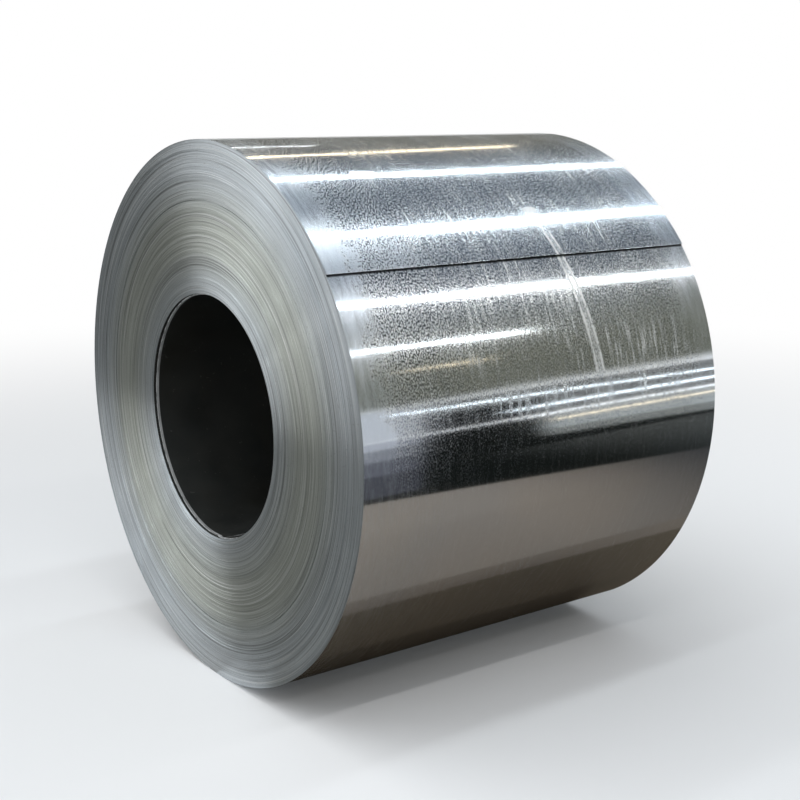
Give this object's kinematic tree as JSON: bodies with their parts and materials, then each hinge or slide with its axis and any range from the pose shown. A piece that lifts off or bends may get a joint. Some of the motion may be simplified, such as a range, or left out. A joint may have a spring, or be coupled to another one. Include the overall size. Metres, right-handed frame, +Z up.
{
  "type": "steel coil",
  "caption": "Coil of galvanised steel strip lying on its side, with an open round bore and the strip's free end lapped over the outside.",
  "frame": {"origin": "middle of the bore, halfway along the strip's width", "axes": "+X along the bore towards the far end, +Z up, -Y towards the side where the strip's free end shows"},
  "size_m": [0.914, 1.135, 1.1358],
  "materials": {
    "galvanised_strip": "hot-dip galvanised strip: bright and mirror-like with fine grey spangle on the outside, dull grey cut edges on the ends"
  },
  "bodies": {
    "root": {"wound_strip": "galvanised_strip"}
  },
  "joints": []
}
